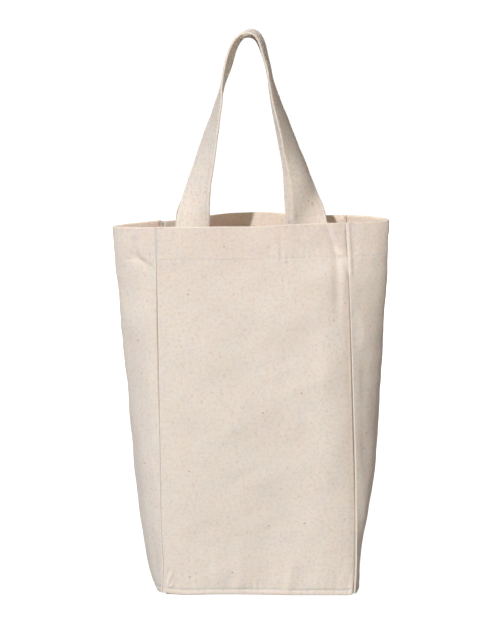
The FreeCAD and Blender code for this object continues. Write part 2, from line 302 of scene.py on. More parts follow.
def canvasMaterial(name, look):
    material, tree, shader = newMaterial(name, look["finish"])
    onCloth = linkedNode(tree, "ShaderNodeUVMap", uv_map="cloth").outputs[0]

    def mathNode(kind, a, b=0.0):
        return linkedNode(tree, "ShaderNodeMath", [(0, a), (1, b)], operation=kind).outputs[0]

    def ramp(value, low, high, toLow=0.0, toHigh=1.0):
        ends = [(0, value), (1, low), (2, high), (3, toLow), (4, toHigh)]
        return linkedNode(tree, "ShaderNodeMapRange", ends).outputs[0]

    def mixed(share, under, over):
        colours = [(0, share), (6, under), (7, (*over, 1))]
        return linkedNode(tree, "ShaderNodeMix", colours, data_type="RGBA").outputs[2]

    def stretched(amount):
        return linkedNode(tree, "ShaderNodeVectorMath", [(0, onCloth), (1, amount)], operation="MULTIPLY").outputs[0]

    def noise(place, scale, detail, roughness=0.5):
        inputs = [("Vector", place), ("Scale", scale), ("Detail", detail), ("Roughness", roughness)]
        return linkedNode(tree, "ShaderNodeTexNoise", inputs).outputs[0]

    axes = linkedNode(tree, "ShaderNodeSeparateXYZ", [(0, onCloth)]).outputs
    fineness, reach = look["wander"]
    drift = mathNode("MULTIPLY", mathNode("SUBTRACT", noise(onCloth, fineness, 2.0), 0.5), reach)
    turn = math.pi / look["pitch"]
    warp, weft = [mathNode("SINE", mathNode("ADD", mathNode("MULTIPLY", axes[k], turn), drift)) for k in (0, 1)]
    weave = mathNode("POWER", mathNode("ABSOLUTE", mathNode("MULTIPLY", warp, weft)), 0.6)
    slubs = mathNode("ADD", *[noise(stretched((across, along, 1.0)), 1.0, 2.0) for across, along in look["slubs"]])
    patches, grain, mottle = [noise(onCloth, *look["noise"][kind]) for kind in ("patches", "grain", "mottle")]

    base = mixed(ramp(patches, *look["patches"]), (*look["colour"], 1), look["paler"])
    # the weave's share of the deeper colour is painted shade between the yarns
    for kind, value in [("slubs", slubs), ("weave", weave), ("grain", grain), ("mottle", mottle)]:
        base = mixed(ramp(value, *look["deepen"][kind]), base, look["deeper"])
    for scale, stretch, size, plain, strength in look["flecks"]:  # bits of seed husk left in unbleached cotton
        inputs = [("Vector", stretched(stretch)), ("Scale", scale), ("Randomness", 1.0)]
        cells = linkedNode(tree, "ShaderNodeTexVoronoi", inputs, voronoi_dimensions="2D").outputs
        pick = linkedNode(tree, "ShaderNodeSeparateColor", [(0, cells["Color"])]).outputs[0]
        near = ramp(cells["Distance"], size * scale, size * scale * 0.35)
        spot = mathNode("MULTIPLY", near, mathNode("GREATER_THAN", pick, plain))
        base = mixed(mathNode("MULTIPLY", spot, strength), base, look["fleck"])
    tree.links.new(base, shader.inputs["Base Color"])

    strength, weaveShare, slubShare = look["bump"]
    height = mathNode("ADD", mathNode("MULTIPLY", weave, weaveShare), mathNode("MULTIPLY", slubs, slubShare))
    raised = [("Strength", strength), ("Distance", look["weaveDepth"]), ("Height", height)]
    tree.links.new(linkedNode(tree, "ShaderNodeBump", raised).outputs[0], shader.inputs["Normal"])
    tree.links.new(ramp(weave, 0.0, 1.0, *look["roughness"]), shader.inputs["Roughness"])
    return material


# painted shade: a warmer, browner copy of the canvas for the inside faces, standing in for the shade and warm bounce
# light inside the bag
paintedShadeInsideLook = dict(canvasLook, colour=(0.835, 0.735, 0.640), paler=(0.855, 0.760, 0.668), deeper=(0.735, 0.625, 0.525))
strapLook = dict(canvasLook, colour=(0.840, 0.765, 0.693), paler=(0.858, 0.787, 0.718), pitch=0.00072)
threadLook = dict(canvasLook, colour=(0.800, 0.715, 0.610), paler=(0.840, 0.765, 0.670), pitch=0.0003,
                  weaveDepth=0.00005)
canvas = canvasMaterial("naturalCanvas", canvasLook)
canvasPaintedShadeInside = canvasMaterial("canvasPaintedShadeInside", paintedShadeInsideLook)
strapCanvas = canvasMaterial("strapCanvas", strapLook)
thread = canvasMaterial("cottonThread", threadLook)
print("materials made")

# walls of the bag

wallRows = np.concatenate([
    [0, 0.12, 0.35, 0.7, 1.2, 2.0, 2.9, 3.6, 4.0, 4.3, 4.6, 5.0, 5.8, 7.2],
    np.arange(9.5, 276, 3.0),
    [277.5, 279.2, 280.3, 280.8, 281.0, 281.2, 281.6, 282.0, 282.25, 282.5, 282.75, 283.0, 283.5, 284.4, 286],
    np.arange(288, 306, 2.0),
    [306.4, 307.6, 308.4, 308.9, 309.3, 309.6, 309.8, 309.93, 310],
])
hemRow = int(np.argmin(abs(wallRows - (cloth["height"] - cloth["hemStitch"]))))
baseRow = int(np.argmin(abs(wallRows - cloth["baseLip"])))

gatherShape = {  # small waves along a row of stitches: height, length, how they drift, the band that they fill
    "seam": (0.20, 8.5, (2.2, 5, 24, 60), (4.0, 3.5)),
    "base": (0.28, 10.5, (2.4, 5, 26, 70), (8.0, 6.5)),
    "hem": (0.20, 5.5, (2.4, 5, 20, 60), (25.5, 5.0)),
    "strap": (0.05, 6.3, (1.0, 4, 20, 50), (2.6, 2.2)),
}
hemPatches = (2.0, 5, 30, 90)  # waves that say where the hem is drawn up


def gathers(kind, along, away, seed):  # along the stitches, and away from the edge beside them
    height, length, drift, band = gatherShape[kind]
    wave = np.sin(along * math.tau / length + ripples(along, 0, seed, *drift))
    return height * wave * bell(away, *band)


def seamGathers(z, fromSeam, seed):
    return gathers("seam", z, fromSeam, seed) * ease(fromSeam, 0.5, 2.5)


def turnedIn(z):  # steps of the cloth turned in behind a seam, which is shorter inside the hem
    depth = cloth["seamTurnIn"] * (1 - 0.75 * ease(z, 276, 281))
    return depth * np.linspace(1, 0, cloth["turnInSteps"] + 1)[None, :-1]


def awayFromSeams(walk, lead):  # distance to the nearer seam
    return np.clip(np.minimum(walk - walk[:, lead:lead + 1], walk[:, -lead - 1:-lead] - walk), 0, None)


def lifted(z, rise, foot):  # heights with the rim's own line and the lift of the foot
    return z + rise * ease(z, 170, cloth["height"]) + foot * (1 - ease(z, 2, 26))


def clothFaces(z, fromSeam):  # outer and inner face of a wall's cloth, from its place on the wall
    top = cloth["height"] - z
    hem = ease(-top, -cloth["hemDepth"], -cloth["hemDepth"] + 0.4)
    base = 1 - ease(z, cloth["baseLip"] - 0.3, cloth["baseLip"] + 0.5)
    clear = ease(fromSeam, 1.2, 3.0)  # the doubled cloth stops short of the seams
    layers = np.maximum(hem * cloth["hemExtra"], base * cloth["baseExtra"]) * clear
    hemPull, hemWide = cloth["hemPull"]
    basePull, baseWide = cloth["basePull"]
    rows = hemPull * bell(top, cloth["hemStitch"], hemWide) + basePull * bell(z, cloth["baseLip"], baseWide)
    turned = hem * (1 - ease(top, cloth["hemTurn"], cloth["hemTurn"] + 1.2))
    outer = cloth["baseProud"] * base - rows + cloth["hemProud"] * turned
    inner = -cloth["thickness"] - layers + rows * 0.6  # the inside is drawn in less
    return closedEdges(outer * clear, inner, [roundEdge(z, cloth["footRound"]), roundEdge(top, cloth["rimRound"])])


def wallPiece(name, node, grid, z, walk, fromSeam, lead, order=1):
    outer, inner = clothFaces(z, fromSeam)
    uv = np.stack([walk + cutFrom[name], z], -1)
    layers = [values[:, ::order] for values in (grid, outer, inner, uv)]  # the left gusset runs the other way
    # the inside faces take the painted-shade copy of the canvas
    piece, *faces = sheetPiece(name, *layers, canvas, canvasPaintedShadeInside)
    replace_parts(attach(piece, "bag"), node)
    return piece, (*faces, lead)


frontFolds = [  # start and end as (across from the first seam, height), then width, height and fade
    ((144.5, 303), (149, 291), 1.6, -0.9, 4),
    ((149, 291), (150.5, 283), 1.6, -1.0, 4),
    ((149.5, 300), (153, 285), 2.4, 0.7, 4),
    ((152.5, 282), (158.6, 277), 1.3, -1.0, 2),
    ((153, 277), (157, 269), 2.8, 1.2, 5),
    ((151, 278), (150.2, 250), 3.9, -1.7, 14),
    ((104.5, 306), (104.5, 283), 1.5, -0.45, 4),
    ((112, 300), (114, 284), 3, 0.3, 6),
    ((122, 288), (122.4, 282), 1.1, 0.35, 2),
    ((127, 288), (127, 282), 1.0, 0.35, 2),
    ((137, 289), (137.4, 282), 1.1, 0.4, 2),
    ((141, 288), (141, 282), 1.0, 0.35, 2),
    ((92, 44), (88, 16), 13, -1.4, 16),
    ((64, 34), (66, 10), 5, 0.7, 9),
    ((44, 26), (45, 8), 4, 0.6, 8),
    ((108, 28), (106, 8), 4.5, 0.7, 8),
    ((128, 60), (134, 20), 9, 0.9, 16),
    ((6.5, 17), (2.4, 4), 1.2, 0.9, 3),
    ((4.2, 19), (1.6, 4), 1.0, -0.8, 3),
    ((10.5, 14), (4.5, 4), 1.3, 0.7, 3),
    ((8.4, 15), (3.6, 4), 1.0, -0.7, 3),
    ((40, 200), (70, 120), 22, 0.8, 50),
    ((120, 190), (100, 90), 24, -0.9, 50),
]
backFolds = [
    ((40, 262), (52, 190), 11, 1.8, 30),
    ((118, 268), (104, 180), 13, -1.8, 34),
    ((10, 280), (24, 240), 5, 1.0, 14),
    ((80, 60), (84, 14), 12, -1.2, 20),
    ((30, 40), (26, 10), 6, 0.9, 12),
    ((130, 34), (128, 8), 6, 0.9, 12),
    ((60, 150), (110, 100), 20, 1.3, 40),
]
strapPull = {  # the hem leans back beside the right end of the front strap
    "across": [(0, 0), (92, 0), (103, 0.02), (108, 0.08), (126, 0.5), (142, 0.90), (146, 0.96), (149, 0.92),
               (152, 0.88), (160, 1.0)],
    "depth": 7.2, "heights": (262, 292),
    "slant": 0.24, "slantFrom": 300, "slantReach": (-10, 24), "slantAcross": (100, 140),
}
panelShape = {
    "edgeColumns": [0, 0.5, 1.1, 1.9, 2.9, 4.0, 5.2],  # columns of points close to a seam
    "step": {"front": 1.4, "back": 2.6},  # and between them
    "flat": 156.0,  # the width that they share out
    "rollSteps": 5,
    "slow": {"front": (0.34, 14, 42, 100), "back": (0.5, 14, 42, 100)},  # waves: height, number, shortest, longest
    "quick": (0.12, 16, 11, 26),
    "rim": (0.1, 6, 40, 120),
}


def makePanel(name, node, back, folds, seed):
    width, tall = cloth["width"], cloth["height"]
    word = "back" if back else "front"
    z = wallRows[:, None]
    firstRoll = smoothLine(cloth["rightRoll" if back else "leftRoll"], z)  # it runs to the right, seen from outside
    lastRoll = smoothLine(cloth["leftRoll" if back else "frontRightRoll"], z)
    turnIn = turnedIn(z)
    flat = panelShape["flat"]
    columns = spread(flat, panelShape["edgeColumns"], panelShape["step"][word]) / flat
    main = firstRoll + (width - firstRoll - lastRoll) * columns[None, :]
    bow = bagLine(word + "Bow", z)
    reach = bagShape[word + "Reach"]
    seam = bagLine("seamDepth", z)

    def bowed(d):
        return bow * (1 - np.clip(1 - d / reach[0], 0, 1) ** 2 - np.clip(1 - (width - d) / reach[1], 0, 1) ** 2)

    def rolled(roll, slope):  # the last of the wall as it rolls into a seam
        lean = np.arctan(slope)
        angle = math.pi - (math.pi / 2 - lean) * np.linspace(0, 1, panelShape["rollSteps"] + 1)[None, :-1]
        centre = seam + bowed(roll * (1 - np.sin(lean))) - roll * np.cos(lean)
        across = np.concatenate([0 * turnIn, roll + roll * np.cos(angle)], 1)
        return across, np.concatenate([centre - turnIn, centre + roll * np.sin(angle)], 1)

    firstAcross, firstOut = rolled(firstRoll, 2 * bow / reach[0])
    lastAcross, lastOut = rolled(lastRoll, 2 * bow / reach[1])
    d = np.concatenate([firstAcross, main, width - lastAcross[:, ::-1]], 1)
    out = np.concatenate([firstOut, seam + bowed(main), lastOut[:, ::-1]], 1)
    zAll = np.broadcast_to(z, d.shape)
    walk = walked(d, out)
    lead = turnIn.shape[1] + 2  # the column on the seam
    fromSeam = awayFromSeams(walk, lead)
    free = ease(fromSeam, 2.0, 14.0) * ease(zAll, 2.0, 16.0)  # how freely the cloth moves
    belowRim = 0.45 + 0.55 * ease(tall - zAll, 10, 60)
    swell = sum(softFold(d, zAll, *fold) for fold in folds) * ease(fromSeam, 0.3, 2.4) * ease(zAll, 1.0, 6.0)
    swell += ripples(d, zAll, seed, *panelShape["slow"][word]) * free * belowRim
    swell += ripples(d, zAll, seed + 1, *panelShape["quick"]) * free
    swell += seamGathers(zAll, fromSeam, seed + 2)
    swell += gathers("base", d, zAll, seed + 3)
    drawn = 0.5 + 0.5 * np.tanh(ripples(d, 0, seed + 6, *hemPatches))
    swell += gathers("hem", d, tall - zAll, seed + 4) * drawn
    if back:
        flare, low, high = bagShape["backFlare"]
        swell += flare * ease(zAll, low, high) * np.clip(1 - (2 * d / width - 1) ** 2, 0, 1)
    else:
        fromRight = width - d
        below = np.clip(strapPull["slantFrom"] - zAll, *strapPull["slantReach"])
        slant = strapPull["slant"] * below * ease(d, *strapPull["slantAcross"]) * ease(fromRight, 0, 6)
        pulled = smoothLine(strapPull["across"], d - slant) * ease(zAll, *strapPull["heights"])
        swell -= strapPull["depth"] * pulled
        for drop, over, fades, grows in bagShape["rightTurns"]:
            kept = (1 - 0.6 * ease(zAll, *fades)) * ease(zAll, *grows)
            swell -= drop * np.clip(1 - fromRight / over, 0, 1) ** 2 * kept
    out = out + swell
    share = 1 - d / width if back else d / width  # from left to right
    rise = smoothLine(bagShape["rimLine"][word], share) + ripples(d, 0, seed + 5, *panelShape["rim"])
    left, right = bagLine("leftEdge", z), bagLine("rightEdge", z)
    if back:
        left = left + bagLine("backLeftInset", z)
        foot = bagShape["footLift"]["left"] * bell(d, width, 5.0) + bagShape["footLift"]["right"] * bell(d, 0, 5.0)
    else:
        foot = bagLine("frontFoot", d)
    x = left + (right - left) * share
    grid = np.stack([x, out if back else -out, lifted(zAll, rise, foot)], -1)
    return wallPiece(name, node, grid, zAll, walk, fromSeam, lead)


gussetFolds = {  # the same, from the crease to the front (negative) and to the back
    "leftGusset": [
        ((-12.2, 297), (-13.4, 285), 1.1, -1.1, 4),
        ((-13.4, 285), (-18.4, 277.5), 1.1, -1.2, 3),
        ((-15.2, 292), (-16, 284), 1.4, 0.6, 4),
        ((-8, 250), (-16, 160), 8, -0.9, 30),
        ((-22, 120), (-26, 40), 8, 0.9, 24),
        ((14, 240), (20, 120), 9, -1.4, 30),
    ],
    "rightGusset": [
        ((12, 260), (22, 140), 9, -1.5, 30),
        ((28, 80), (24, 20), 7, 1.0, 16),
    ],
}
gussetShape = {
    "columns": 38,  # from a seam to the crease
    "rollSteps": 7,
    "rollSink": 0.92,  # share of its radius that a roll sits inside the seam
    "slit": (3.4, 0.06),  # how far in the two layers of a seam meet, and the least slit
    "slow": (0.5, 12, 36, 90),  # waves: height, number, shortest, longest
    "quick": (0.10, 14, 10, 24),
    "rim": (0.1, 5, 30, 80),
    "ridge": (1.0, 1.6, 1.5),  # the hem pinches the front right seam into a ridge: height, place, width
}


def gussetCurve(word, side, start, depth, z):  # outline of half a gusset from its seam to its crease, seen from above
    off = side * bagLine(word + "Crease", z)[:, 0] - start
    power, soft = [bagLine(word + kind, z)[:, 0] for kind in ("Power", "Soft")]
    t = np.linspace(1, 0, 240)
    lines = []
    for k in range(len(off)):
        bend = (t ** 2 + soft[k] ** 2) ** (power[k] / 2) - soft[k] ** power[k]
        bend /= bend[0]
        a, d = start[k] + off[k] * (1 - bend), depth[k] * t
        walk = walked(a, d)
        at = np.linspace(0, walk[-1], gussetShape["columns"])
        lines.append([np.interp(at, walk, a), np.interp(at, walk, d)])
    return np.array(lines).transpose(1, 0, 2)


def makeGusset(name, node, right, seed):
    word, side = ("right", 1) if right else ("left", -1)
    z = wallRows[:, None]
    gap, roll = smoothLine(cloth[word + "Gap"], z), smoothLine(cloth[word + "Roll"], z)
    edge = side * bagLine(word + "Edge", z)
    seam = bagLine("seamDepth", z)
    centreA, centreD = edge + gap + roll, seam - roll * gussetShape["rollSink"]
    turnIn = turnedIn(z)
    first, firstDepth = gussetCurve(word, side, (centreA + roll)[:, 0], (centreD + roll)[:, 0], z)
    heading = np.arctan2(firstDepth[:, 0] - firstDepth[:, 1], first[:, 1] - first[:, 0])[:, None]
    angle = math.pi - (math.pi / 2 + heading) * np.linspace(0, 1, gussetShape["rollSteps"] + 1)[None, :-1]
    arcA, arcD = centreA + roll * np.cos(angle), centreD + roll * np.sin(angle)
    endA, endD = centreA + roll * np.sin(heading), centreD + roll * np.cos(heading)
    mainA, mainD = gussetCurve(word, side, endA[:, 0], endD[:, 0], z)
    meet, least = gussetShape["slit"]
    slit = np.maximum(gap * (1 - turnIn / meet), least)
    outHalf = np.concatenate([edge + slit, arcA, mainA], 1)
    depthHalf = np.concatenate([centreD - turnIn, arcD, mainD], 1)
    outAll = np.concatenate([outHalf, outHalf[:, -2::-1]], 1)
    depthAll = np.concatenate([-depthHalf, depthHalf[:, -2::-1]], 1)
    zAll = np.broadcast_to(z, outAll.shape)
    walk = walked(outAll, depthAll)
    lead = turnIn.shape[1] + 3  # the column on the seam
    fromSeam = awayFromSeams(walk, lead)
    free = ease(fromSeam, 3.0, 12.0)
    swell = ripples(walk, zAll, seed, *gussetShape["slow"]) * free * ease(zAll, 4, 24)
    swell += ripples(walk, zAll, seed + 1, *gussetShape["quick"]) * free
    swell += sum(softFold(depthAll, zAll, *fold) for fold in gussetFolds[name]) * ease(fromSeam, 0.2, 2.0)
    swell += seamGathers(zAll, fromSeam, seed + 2)
    rise = smoothLine(bagShape["rimLine"][word], 0.5 + 0.5 * depthAll / seam)
    rise += ripples(walk, 0, seed + 5, *gussetShape["rim"]) * free
    if right:
        height, place, wide = gussetShape["ridge"]
        swell += height * bell(fromSeam, place, wide) * ease(zAll, 260, 276) * (depthAll < 0)
        depthAll = depthAll + bagLine("frontRightInset", z) * np.clip(-depthAll / seam, 0, 1)
    else:
        outAll = outAll - bagLine("backLeftInset", z) * ease(depthAll / seam, 0, 1)
    foot = bagShape["footLift"][word] * bell(fromSeam, 0, 9.0)
    grid = np.stack([side * outAll, depthAll, lifted(zAll, rise, foot)], -1)
    grid = grid + side * gridNormals(grid) * swell[..., None]
    return wallPiece(name, node, grid, zAll, walk, fromSeam, lead, side)


frontPanel, frontFaces = makePanel("frontPanel", "front_panel", False, frontFolds, 31)
backPanel, backFaces = makePanel("backPanel", "back_panel", True, backFolds, 47)
leftGusset, leftFaces = makeGusset("leftGusset", "left_gusset", False, 59)
rightGusset, rightFaces = makeGusset("rightGusset", "right_gusset", True, 73)
print("walls made:", len(frontPanel.data.polygons), "faces in the front panel")

# base

baseShape = {
    "inset": 3.0,  # between its turned-up edges and the seams
    "lip": 4.2, "bend": 1.2,  # height of those edges and the radius at their foot
    "rest": 0.5,  # height of its middle layer over the floor
    "edgeColumns": [0, 0.4, 1.2, 2.2, 3.2, 4.2, 4.7, 5.2, 5.7, 6.3, 8],  # columns of points close to an edge
    "step": 4.0,  # and between them
    "waves": (1.0, 12, 26, 70),  # height, number, shortest, longest
    "buckle": 1.3,  # how far they lift the middle
}


def makeBase():
    left, right = bagShape["leftEdge"][0][1], bagShape["rightEdge"][0][1]
    halfX = (right - left) / 2 - baseShape["inset"]
    halfY = bagShape["seamDepth"][0][1] - baseShape["inset"]

    def turnedUp(half):  # places along the cut, with the flat place and the height that each is turned up to
        bend = baseShape["bend"]
        quarter = bend * math.pi / 2
        flat = half - bend
        along = spread(2 * (flat + quarter + baseShape["lip"]), baseShape["edgeColumns"], baseShape["step"])
        along = along - along[-1] / 2
        over = np.clip(np.abs(along) - flat, 0, None)
        turn = np.clip(over / quarter, 0, 1) * math.pi / 2
        place = np.minimum(np.abs(along), flat) + bend * np.sin(turn)
        rise = bend * (1 - np.cos(turn)) + np.clip(over - quarter, 0, None)
        return along, np.sign(along) * place, rise

    alongX, placeX, riseX = turnedUp(halfX)
    alongY, placeY, riseY = turnedUp(halfY)
    x = (left + right) / 2 + placeX[None, :] + 0 * placeY[:, None]
    y = placeY[:, None] + 0 * placeX[None, :]
    flatness = ease(np.minimum(halfX - np.abs(placeX[None, :]), halfY - np.abs(placeY[:, None])), 2, 16)
    wave = 0.5 + 0.5 * np.tanh(ripples(x, y, 83, *baseShape["waves"]))
    z = baseShape["rest"] + np.maximum(riseX[None, :], riseY[:, None]) + baseShape["buckle"] * wave * flatness
    grid = np.stack([x, y, z], -1)
    half = np.full(x.shape, cloth["thickness"] / 2)
    cut = cutFrom["bottomPanel"]
    uv = np.stack([np.broadcast_to(alongX[None, :], x.shape) + cut, np.broadcast_to(alongY[:, None], x.shape)], -1)
    piece = sheetPiece("bottomPanel", grid, half, -half, uv, canvas)[0]
    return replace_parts(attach(piece, "bag"), "bottom_panel")


bottomPanel = makeBase()

# divider

dividerShape = {
    "bottom": 1.8,  # height of its lower edge
    "gap": 1.6,  # between it and the panels
    "cut": 80.0, "hem": 9.0, "hemExtra": 0.5,
    "columns": 27,
    "sag": (0.55, 0.62),  # how its spare width turns into a curve
    "waves": (1.6, 10, 40, 110),  # height, number, shortest, longest
}
dividerRows = np.concatenate([np.arange(0, 268, 4.0), [268.2, 268.9, 269.4, 270, 272, 274, 275.2, 275.8, 276.2]])


def makeDivider():
    z = (dividerShape["bottom"] + dividerRows)[:, None]
    t = np.linspace(0, 1, dividerShape["columns"])[None, :]
    seam = bagLine("seamDepth", z)
    front = -(seam + bagLine("frontBow", z)) + dividerShape["gap"]
    back = seam + bagLine("backBow", z) - dividerShape["gap"]
    chord = back - front
    spare = dividerShape["cut"] - np.minimum(chord, dividerShape["cut"])
    curve, share = dividerShape["sag"]
    slack = np.sqrt(curve * chord * spare) * share
    middle = (bagLine("leftEdge", z) + bagLine("rightEdge", z)) / 2
    y = front + chord * t
    zAll = z + 0 * y
    x = middle + slack * np.sin(math.pi * t) ** 1.2
    x = x + ripples(y, zAll, 91, *dividerShape["waves"]) * np.sin(math.pi * t)
    fromTop = dividerRows[-1] - dividerRows[:, None] + 0 * y
    hem = ease(-fromTop, -dividerShape["hem"], -dividerShape["hem"] + 0.6)
    half = cloth["thickness"] / 2 + dividerShape["hemExtra"] * hem
    outer, inner = closedEdges(half, -half, [roundEdge(fromTop, 1.0)])
    uv = np.stack([t * dividerShape["cut"] + cutFrom["bottleDivider"] + 0 * z, dividerRows[:, None] + 0 * y], -1)
    piece = sheetPiece("bottleDivider", np.stack([x, y, zAll], -1), outer, inner, uv, canvas)[0]
    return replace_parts(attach(piece, "bag"), "divider")


divider = makeDivider()
print("base and divider made")

# straps

strapShape = {
    "width": 28.0, "thickness": 2.0,
    "edgeRow": 3.2,  # rows of stitches along both edges
    "groove": (0.14, 0.6),  # how deep and how wide they pull
    "edgePlump": (0.04, 1.5, 0.9),  # fuller outside the rows: height, place, width
    "middlePlump": (0.08, 4.0, 9.0),  # and between them: height, from, to
    "edgeColumns": [0, 0.15, 0.4, 0.8, 1.3, 1.9, 2.4, 2.8, 3.2, 3.6, 4.0, 4.6, 5.6],  # points close to an edge
    "step": 1.5,  # and between them
    "along": 2.0,  # step along the strap
    "sewn": (284.0, 311.0, 3.0),  # heights of its sewn ends: from, to, step
    "free": (313.0, 4.0),  # heights above them: from, step
    "seat": (0.2, 309.0),  # how clear it is of the wall, and up to what height it lies on it
    "leaves": (312.0, 440.0),  # heights over which it leaves the wall for the arch
    "curl": (0.25, 5, 60, 140),  # waves: height, number, shortest, longest
    "uneven": (0.10, 10, 16, 44),
    "loose": (34, 70),  # distances from an end over which it comes free
    "dip": (430, 460),  # heights over which the arch leans
    "cupShares": (0.45, 0.62),  # where the left leg's cup changes to the right leg's
    "bulge": ((22, 66), (56, 104)),  # distances from the right end over which a bulge grows and fades
}
# (height, place) of each leg's middle, (height, degrees) that it has turned from flat, and the arch's (place, height)
frontStrapLine = {
    "leftLeg": [(284, -48.2), (308, -48), (318, -47.2), (326, -46), (332.6, -45), (346, -42.2), (359, -38.9),
                (372.5, -35.9), (386, -32.6), (399, -29.5), (412, -26.6), (424, -24), (434, -21.2), (440, -19.3)],
    "rightLeg": [(284, 49.6), (308, 49.4), (318, 48), (326, 45.8), (346, 41.1), (368, 34.7), (390, 28.2),
                 (407, 22.8), (421, 18.8), (433, 15.8), (440, 14.7)],
    "leftTurn": [(284, 0), (306, 0), (311, 5), (318, 18), (326, 30), (332.6, 36.5), (346, 47), (359, 54),
                 (372.5, 60.5), (386, 68), (399, 76), (405, 79), (412, 83), (418, 87), (424, 92), (430, 96.5),
                 (436, 100), (440, 101.5)],
    "rightTurn": [(284, 0), (306, 0), (311, 4), (318, 17), (326, 31), (346, 50), (368, 61), (390, 70), (407, 76),
                  (421, 83), (430, 87.5), (437, 89.5), (440, 88.5)],
    "arch": [(-16.9, 448.2), (-14.4, 455.8), (-11, 462.4), (-6.4, 467), (-0.6, 468.7), (5, 466.9),
             (8.8, 461), (11.4, 453), (13.2, 445.8)],
    "archTurn": (103, 94), "archDepth": 12.5, "dip": 0.03, "cup": (0.4, 2.2), "bulge": -3.0,
}
backStrapLine = {
    "leftLeg": [(284, -49.4), (308, -49.2), (318, -48), (326, -46.4), (346, -42.4), (372, -35.9), (399, -29.2),
                (412, -26), (419, -24.2), (429, -21.4), (435, -19.6)],
    "rightLeg": [(284, 43.2), (308, 43), (318, 42.2), (326, 41.3), (346, 38.2), (366, 33.2), (385, 27.1),
                 (405, 20.9), (416, 17.8), (428, 15.2), (435, 14.3)],
    "leftTurn": [(284, 0), (306, 0), (311, 5), (318, 24), (326, 40), (346, 52), (372, 67), (399, 80), (412, 84),
                 (419, 85), (429, 83), (435, 81)],
    "rightTurn": [(284, 0), (306, 0), (311, 3), (318, 9), (326, 17), (346, 36), (366, 52), (385, 64), (405, 77),
                  (416, 84), (428, 91), (435, 93)],
    "arch": [(-17.4, 443), (-15, 450.6), (-11.4, 457.2), (-6.4, 461.7), (-0.8, 463.3), (4.8, 461.4),
             (8.4, 455.6), (11.2, 447.6), (13, 440.4)],
    "archTurn": (80, 86), "archDepth": 16.6, "dip": 0.0, "cup": (0.4, 0.8), "bulge": 0.0,
}
strapPlaces = spread(strapShape["width"], strapShape["edgeColumns"], strapShape["step"]) - strapShape["width"] / 2


def wallInside(faceIn, x, z):  # depth of a wall's inner face at a place on it
    row = int(np.argmin(abs(faceIn[:, faceIn.shape[1] // 2, 2] - z)))
    wall = faceIn[row, 12:-12]  # without the cloth turned in at the seams
    order = np.argsort(wall[:, 0])
    return np.interp(x, wall[order, 0], wall[order, 1])


def strapCentre(line, back, faceIn):  # middle line and turn of a strap, from its left end to its right end
    side = 1 if back else -1
    half = strapShape["width"] / 2
    gap, seatTop = strapShape["seat"]
    clear = strapShape["thickness"] / 2 + gap
    freeFrom, freeStep = strapShape["free"]
    legs = []
    for word in ("left", "right"):
        leg, turn = line[word + "Leg"], line[word + "Turn"]
        top = leg[-1][0]
        part = []
        for z in np.concatenate([np.arange(*strapShape["sewn"]), np.arange(freeFrom, top, freeStep), [top]]):
            x = float(smoothLine(leg, z))
            seat = min(side * wallInside(faceIn, x + off, min(z, seatTop)) for off in (-half, 0, half)) - clear
            share = float(ease(z, *strapShape["leaves"]))
            angle = float(smoothLine(turn, z))
            depth = side * (seat * (1 - share) + line["archDepth"] * share)
            part.append((x, depth, z, angle if (word == "left") == back else 180 - angle))
        legs.append(part)
    turns = np.linspace(*line["archTurn"], len(line["arch"]))
    depth = side * line["archDepth"]
    arch = [(x, depth, z, turn if back else 180 - turn) for (x, z), turn in zip(line["arch"], turns)]
    return np.array(legs[0] + arch + legs[1][::-1])


def evenly(points, step):  # the same line at even steps, smoothed a little
    walk = walked(*points.T[:3])
    at = np.linspace(0, walk[-1], int(walk[-1] / step) + 1)
    line = np.stack([smoothLine(np.stack([walk, values], -1), at) for values in points.T], -1)
    for _ in range(4):
        line[1:-1] = line[:-2] * 0.25 + line[1:-1] * 0.5 + line[2:] * 0.25
    return line, at


def makeStrap(name, handle, ends, line, back, faceIn, seed):
    centre, walk = evenly(strapCentre(line, back, faceIn), strapShape["along"])
    half, length = strapShape["width"] / 2, walk[-1]
    angle = np.radians(centre[:, 3])
    across = np.stack([np.cos(angle), np.sin(angle), line["dip"] * ease(centre[:, 2], *strapShape["dip"])], -1)
    tangent = unit(np.gradient(centre[:, :3], axis=0))
    across = unit(across - tangent * np.sum(across * tangent, 1, keepdims=True))
    grid = centre[:, None, :3] + across[:, None, :] * strapPlaces[None, :, None]
    u, v = np.meshgrid(strapPlaces, walk)
    toEdge, toEnd = (u / half) ** 2, length - v
    loose = ease(v, *strapShape["loose"]) * ease(toEnd, *strapShape["loose"])
    leftCup, rightCup = line["cup"]  # the legs are bowed across
    cup = leftCup + (rightCup - leftCup) * ease(v, *[length * share for share in strapShape["cupShares"]])
    curl = toEdge * ripples(v, 0, seed, *strapShape["curl"]) + ripples(u, v, seed + 1, *strapShape["uneven"])
    curl = curl + cup * (toEdge - 0.33)
    grows, fades = strapShape["bulge"]
    bulge = line["bulge"] * ease(toEnd, *grows) * (1 - ease(toEnd, *fades))  # the right leg rounds out
    grid = grid + gridNormals(grid) * (curl * loose + bulge * (1 - toEdge))[..., None]
    nearEdge = half - np.abs(u)
    edge, middle = strapShape["edgePlump"], strapShape["middlePlump"]
    plump = edge[0] * bell(nearEdge, *edge[1:]) + middle[0] * ease(nearEdge, *middle[1:])
    groove, wide = strapShape["groove"]
    face = strapShape["thickness"] / 2 + plump - groove * bell(nearEdge, strapShape["edgeRow"], wide)
    face = face + gathers("strap", v, nearEdge, seed + 3)
    outer, inner = closedEdges(face, -face, [roundEdge(away, 1.2) for away in (nearEdge, v, toEnd)])
    uv = np.stack([u + cutFrom[name], v], -1)
    piece, *faces = sheetPiece(name, grid, outer, inner, uv, strapCanvas)
    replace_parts(piece, handle, ends)
    return piece, faces


